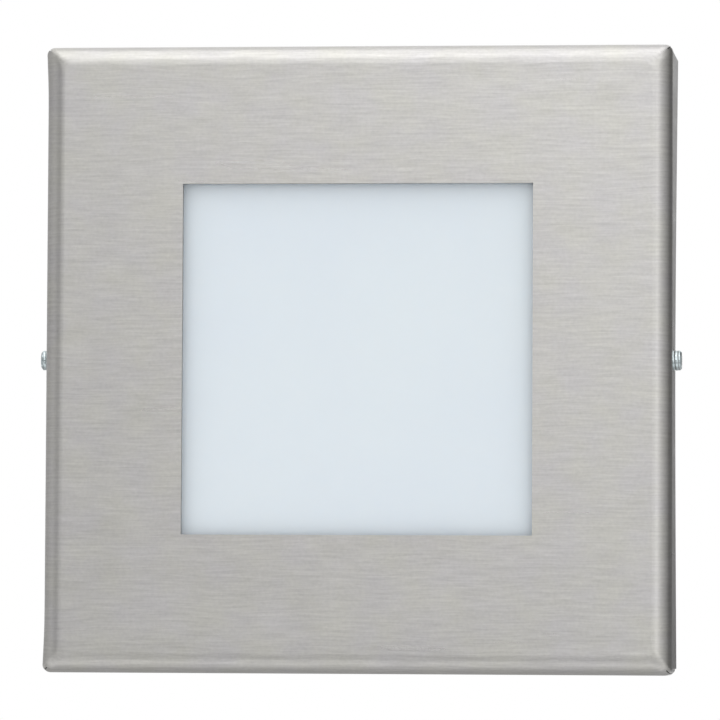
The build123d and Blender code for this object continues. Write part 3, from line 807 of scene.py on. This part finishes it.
# Hexagon nuts on the studs, with broken edges
nutLook = {
    "flats": 0.0055,
    "bore": 0.00155,
    "boreSides": 24,
    "edge": 0.00028,
    "edgeSteps": 2,
    "sharpFrom": 35,
}


def buildNuts(look):
    low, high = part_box("stud_nuts")
    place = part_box("cover_studs")[1].x - studLook["rootRadius"]
    bm = bmesh.new()
    for x in (-place, place):
        for z in (-place, place):
            flat = Matrix.Translation((x, low.y, z)) @ Matrix.Rotation(math.pi / 2, 4, "X")
            corner = look["flats"] / math.sqrt(3)
            outer = bmesh.ops.create_circle(bm, segments=6, radius=corner, matrix=flat)["verts"]
            inner = bmesh.ops.create_circle(
                bm, segments=look["boreSides"], radius=look["bore"], matrix=flat,
            )["verts"]
            rings = {edge for vert in outer + inner for edge in vert.link_edges}
            bmesh.ops.bridge_loops(bm, edges=list(rings))
    thickenBack(bm, high.y - low.y)
    broken = []
    for edge in bm.edges:
        level = abs(edge.verts[0].co.y - edge.verts[1].co.y) < tiny
        if level and edge.calc_length() > look["flats"] / 2 and edge.calc_face_angle() > cornerTurn:
            broken.append(edge)
    softenEdges(bm, broken, look["edge"], look["edgeSteps"])
    edgeAngles(bm, look["sharpFrom"])
    addPiece("studNuts", bm, [brightZinc], "cover", ["stud_nuts"])


buildNuts(nutLook)


# Rubber seals: square rings with rounded corners and soft edges
sealLook = {
    "cornerSteps": 8,
    "edgeSteps": 4,
    "sharpFrom": 40,
    "rings": {
        # node, body it rides on, width, outer and inner corner radius, edge radius
        "paneSeal": ("pane_gasket", "cover", 0.003, (0.002, 0.002), 0.0003),
        "rimSeal": ("rim_gasket", "cover", 0.0049, (0.0052, 0.0015), 0.0007),
        "wallSeal": ("wall_gasket", "housing", 0.0094, (0.003, 0.005), 0.0006),
    },
}


def buildSeal(look, name, node, body, width, corners, edgeRound):
    low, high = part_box(node)
    bm = bmesh.new()
    frontSquare(bm, high.x, low.y)
    openRing(bm, width)
    thickenBack(bm, high.y - low.y)
    for half, rounding in zip((high.x, high.x - width), corners):
        upright = []
        for edge in bm.edges:
            first, second = edge.verts
            standing = abs(first.co.y - second.co.y) > tiny
            if standing and abs(abs(first.co.x) - half) < tiny and abs(abs(first.co.z) - half) < tiny:
                upright.append(edge)
        softenEdges(bm, upright, rounding, look["cornerSteps"])
    outlines = [edge for edge in bm.edges if edge.calc_face_angle() > cornerTurn]
    softenEdges(bm, outlines, edgeRound, look["edgeSteps"])
    edgeAngles(bm, look["sharpFrom"])
    addPiece(name, bm, [blackRubber], body, [node])


for name, ring in sealLook["rings"].items():
    buildSeal(sealLook, name, *ring)


# Lamp chips: white bodies, each with a domed yellow lens
chipLook = {
    "rows": 4,
    "size": 0.0035,
    "body": 0.00055,
    "edge": 0.00018,
    "edgeSteps": 3,
    "lens": 0.0013,
    "lensSides": 20,
    "lensRings": 10,
    "sharpFrom": 40,
}


def buildChips(look):
    low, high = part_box("led_chips")
    spacing = (high.x - low.x - look["size"]) / (look["rows"] - 1)
    start = low.x + look["size"] / 2
    lensHeight = high.y - low.y - look["body"]
    seat = high.y - look["body"]
    bm = bmesh.new()
    spots = [start + spacing * step for step in range(look["rows"])]
    for x in spots:
        for z in spots:
            scale = Matrix.Diagonal((look["size"], look["body"], look["size"], 1))
            middle = Matrix.Translation((x, high.y - look["body"] / 2, z))
            bmesh.ops.create_cube(bm, size=1, matrix=middle @ scale)
    front = [edge for edge in bm.edges if min(vert.co.y for vert in edge.verts) < seat + tiny]
    softenEdges(bm, front, look["edge"], look["edgeSteps"])
    for x in spots:
        for z in spots:
            flatten = Matrix.Diagonal((look["lens"], lensHeight, look["lens"], 1))
            upright = Matrix.Rotation(math.pi / 2, 4, "X")
            dome = bmesh.ops.create_uvsphere(
                bm, u_segments=look["lensSides"], v_segments=look["lensRings"], radius=1,
                matrix=Matrix.Translation((x, seat, z)) @ flatten @ upright,
            )["verts"]
            for face in {face for vert in dome for face in vert.link_faces}:
                face.material_index = 1
    bmesh.ops.recalc_face_normals(bm, faces=bm.faces[:])
    edgeAngles(bm, look["sharpFrom"])
    addPiece("ledChips", bm, [chipBody, phosphor], "housing", ["led_chips"])


buildChips(chipLook)


flatWithin = math.radians(0.5)  # faces that turn by less become one
roundFrom = math.radians(35)  # outer edges that turn by more are rounded off


# A copy of a solid's mesh, merged, with one face for each flat side
def softCopy(node):
    bm = bmesh.new()
    bm.from_mesh(nodes[node].data)
    bmesh.ops.remove_doubles(bm, verts=bm.verts[:], dist=mergeGap)
    bmesh.ops.dissolve_limit(bm, angle_limit=flatWithin, verts=bm.verts[:], edges=bm.edges[:])
    return bm


def sharpEdges(bm):
    return [edge for edge in bm.edges if edge.is_convex and edge.calc_face_angle() > roundFrom]


# Moulded and pressed pieces with their edges rounded off
softLook = {
    "edgeSteps": 3,
    "sharpFrom": 40,
    "pieces": {
        # node, body it rides on, finish, slot, edge radius
        "glandBody": ("gland_body", "housing", mouldedNylon, "gland", 0.0004),
        "glandCap": ("gland_cap", "housing", mouldedNylon, "gland", 0.0004),
        "blankingPlug": ("blanking_plug", "housing", mouldedNylon, "gland", 0.0003),
        "weldNutLeft": ("weld_nut_left", "cover", brightZinc, "zinc", 0.0003),
        "weldNutRight": ("weld_nut_right", "cover", brightZinc, "zinc", 0.0003),
    },
}


def buildSoft(look, name, node, body, finish, slot, radius):
    bm = softCopy(node)
    softenEdges(bm, sharpEdges(bm), radius, look["edgeSteps"])
    edgeAngles(bm, look["sharpFrom"])
    piece = addPiece(name, bm, [finish], body, [node])
    keepFlat(piece)


for name, piece in softLook["pieces"].items():
    buildSoft(softLook, name, *piece)


# Cast box: its ribs, slots and rim lose their sharp edges, as a casting does
castLook = {
    "ribTop": 0.0519,  # from the middle of the box to the tops of its ribs
    "ribEdge": 0.0008,
    "slotEdge": 0.0004,
    "rimEdge": 0.0004,
    "edgeSteps": 4,
    "sharpFrom": 40,
}


def buildCasting(look):
    low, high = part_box("housing")
    bm = softCopy("housing")
    ribs = []
    for edge in sharpEdges(bm):
        spots = [vert.co for vert in edge.verts]
        if all(spot.y > 0 and max(abs(spot.x), abs(spot.z)) > look["ribTop"] - tiny for spot in spots):
            ribs.append(edge)
    softenEdges(bm, ribs, look["ribEdge"], look["edgeSteps"])
    for depth, radius in ((high.y, look["slotEdge"]), (low.y, look["rimEdge"])):
        level = []
        for edge in sharpEdges(bm):
            if all(abs(vert.co.y - depth) < tiny for vert in edge.verts):
                level.append(edge)
        softenEdges(bm, level, radius, look["edgeSteps"])
    edgeAngles(bm, look["sharpFrom"])
    piece = addPiece("castBox", bm, [castAluminium], "housing", ["housing"])
    keepFlat(piece)


buildCasting(castLook)


# Camera at the photograph's place: a little right of the middle and below it
cameraLook = {
    "yaw": 5.59,
    "pitch": -3.05,
    "roll": 0.30,
    "distance": 1.084,
    "lens": 273.55,
    "shift": (0.0057, -0.0026),
    "sensor": 36.0,  # millimetres
    "clipStart": 0.01,
}


def addCamera(look):
    aim = Vector((0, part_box("front_cover")[0].y, 0))
    yaw, pitch, roll = (math.radians(look[turn]) for turn in ("yaw", "pitch", "roll"))
    away = Vector((math.sin(yaw) * math.cos(pitch), -math.cos(yaw) * math.cos(pitch), math.sin(pitch)))
    right = Vector((0, 0, 1)).cross(away).normalized()
    up = away.cross(right)
    tiltedRight = right * math.cos(roll) + up * math.sin(roll)
    tiltedUp = away.cross(tiltedRight)
    data = bpy.data.cameras.new("camera")
    data.lens = look["lens"]
    data.sensor_width = look["sensor"]
    data.shift_x, data.shift_y = look["shift"]
    data.clip_start = look["clipStart"]
    camera = bpy.data.objects.new("camera", data)
    turn = Matrix((tiltedRight, tiltedUp, away)).transposed().to_4x4()
    camera.matrix_world = Matrix.Translation(aim + away * look["distance"]) @ turn
    bpy.context.scene.collection.objects.link(camera)
    bpy.context.scene.camera = camera


addCamera(cameraLook)
print("camera placed")


# Studio: a pale floor, soft boxes above and in front, and shaded cards for the metal to mirror
studioLook = {
    "floorDrop": 0.30,
    "floorHalf": 6.0,
    "floorTint": (0.86, 0.86, 0.86),
    "floorShade": 0.98,  # of the tint, in the darker patches
    "fill": 0.89,
    "cards": {
        # one end, other end, how far and which way it reaches, and its brightness from end to end
        "rightCard": (
            (0.995, -2.75, -0.3), (0.62, 1.2, -0.3), (0, 0, 1.3),
            ((0, 1.3), (0.25, 1.32), (0.42, 1.18), (0.776, 0.17), (1, 0.15)),
        ),
        "farCard": (
            (0.62, 1.2, -0.3), (0.62, 1.2, 0.6), (-0.4, 2.0, 0),
            ((0, 0.11), (0.25, 0.12), (0.5, 0.24), (0.7, 0.55), (1, 0.7)),
        ),
        "leftCard": (
            (-0.75, -3.4, -0.3), (-0.95, 2.2, -0.3), (0, 0, 1.3),
            ((0, 0.82), (0.33, 0.64), (0.41, 0.44), (0.47, 0.44), (0.56, 0.62), (0.68, 0.5), (1, 0.46)),
        ),
        "highCard": ((-1.5, -1.5, 0.85), (1.5, -1.5, 0.85), (0, 0.45, 0.85), ((0, 1.3), (1, 1.3))),
        "lowCard": (
            (-2.5, -2.4, -0.3), (2.5, -2.4, -0.3), (0, 0, 0.3),
            ((0, 0.06), (0.42, 0.1), (0.54, 0.45), (0.7, 0.75), (1, 0.9)),
        ),
        "floorCard": (
            (-0.8, -1.2, -0.355), (-0.8, 1.5, -0.355), (1.6, 0, 0),
            ((0, 0.62), (0.27, 0.6), (0.33, 0.95), (0.38, 0.95), (0.46, 0.48), (1, 0.45)),
        ),
    },
    "lights": {
        # place, size, brightness against the white of the background
        "topBox": ((0.0, -0.35, 1.3), 1.4, 0.63),
        "frontBox": ((0.19, -2.0, 0.58), 0.9, 0.5),
    },
}


def floorFinish(look):
    return grainyFinish("paleFloor", {
        "grain": 40.0,
        "patch": 2.0,
        "dark": shaded(look["floorTint"], look["floorShade"]),
        "light": look["floorTint"],
        "gloss": (0.8, 0.9),
        "tooth": 0.0001,
        "fixed": {"Specular IOR Level": 0.0},
    })


# A card that glows softly, shaded along its length
def cardFinish(name, shades):
    fixed = {"Base Color": (0, 0, 0, 1), "Specular IOR Level": 0.0, "Emission Strength": 1.0}
    material, tree, shader = startMaterial(name, fixed)
    along = addNode(tree, "ShaderNodeUVMap", uv_map="card")
    split = addNode(tree, "ShaderNodeSeparateXYZ")
    tree.links.new(along.outputs["UV"], split.inputs["Vector"])
    stops = [(place, (shade, shade, shade)) for place, shade in shades]
    tree.links.new(colourRamp(tree, split.outputs["X"], stops), shader.inputs["Emission Color"])
    return material


def addStage(name, bm, material):
    mesh = bpy.data.meshes.new(name)
    bm.to_mesh(mesh)
    bm.free()
    mesh.materials.append(material)
    piece = bpy.data.objects.new(name, mesh)
    bpy.context.scene.collection.objects.link(piece)
    return piece


def addCard(name, start, end, reach, shades):
    bm = bmesh.new()
    near = [bm.verts.new(place) for place in (start, end)]
    made = bmesh.ops.extrude_edge_only(bm, edges=[bm.edges.new(near)])["geom"]
    bmesh.ops.translate(bm, verts=newParts(made, bmesh.types.BMVert), vec=reach)
    cardMap = bm.loops.layers.uv.new("card")
    way = Vector(end) - Vector(start)
    for loop in newParts(made, bmesh.types.BMFace)[0].loops:
        along = (loop.vert.co - Vector(start)).dot(way) / way.length_squared
        loop[cardMap].uv = (along, 0.5)
    card = addStage(name, bm, cardFinish(name + "Shade", shades))
    card.visible_camera = False
    card.visible_diffuse = False
    card.visible_shadow = False


def addStudio(look):
    bm = bmesh.new()
    made = bmesh.ops.create_grid(bm, x_segments=1, y_segments=1, size=look["floorHalf"])["verts"]
    bmesh.ops.translate(bm, verts=made, vec=(0, 0, cadBox[0].z - look["floorDrop"]))
    addStage("floor", bm, floorFinish(look))
    for name, card in look["cards"].items():
        addCard(name, *card)
    for name, (place, size, brightness) in look["lights"].items():
        data = bpy.data.lights.new(name, "AREA")
        data.shape = "SQUARE"
        data.size = size
        data.energy = brightness * math.pi * size * size
        light = bpy.data.objects.new(name, data)
        light.location = place
        light.rotation_euler = (-Vector(place)).to_track_quat("-Z", "Y").to_euler()
        bpy.context.scene.collection.objects.link(light)


# The world is white to the camera and in reflections, and a soft fill for the rest
def addWorld(look):
    world = bpy.data.worlds.new("studio")
    bpy.context.scene.world = world
    world.use_nodes = True
    tree = world.node_tree
    seen = tree.nodes["Background"]
    seen.inputs["Color"].default_value = (1, 1, 1, 1)
    seen.inputs["Strength"].default_value = 1.0
    fill = addNode(tree, "ShaderNodeBackground", {"Color": (1, 1, 1, 1), "Strength": look["fill"]})
    ray = addNode(tree, "ShaderNodeLightPath")
    cameraOrGloss = addNode(tree, "ShaderNodeMath", operation="MAXIMUM")
    tree.links.new(ray.outputs["Is Camera Ray"], cameraOrGloss.inputs[0])
    tree.links.new(ray.outputs["Is Glossy Ray"], cameraOrGloss.inputs[1])
    anySeen = addNode(tree, "ShaderNodeMath", operation="MAXIMUM")
    tree.links.new(cameraOrGloss.outputs["Value"], anySeen.inputs[0])
    tree.links.new(ray.outputs["Is Transmission Ray"], anySeen.inputs[1])
    choose = addNode(tree, "ShaderNodeMixShader")
    tree.links.new(anySeen.outputs["Value"], choose.inputs["Fac"])
    tree.links.new(fill.outputs["Background"], choose.inputs[1])
    tree.links.new(seen.outputs["Background"], choose.inputs[2])
    tree.links.new(choose.outputs["Shader"], tree.nodes["World Output"].inputs["Surface"])


addStudio(studioLook)
addWorld(studioLook)
bpy.context.scene.view_settings.view_transform = "Standard"
print("studio ready")
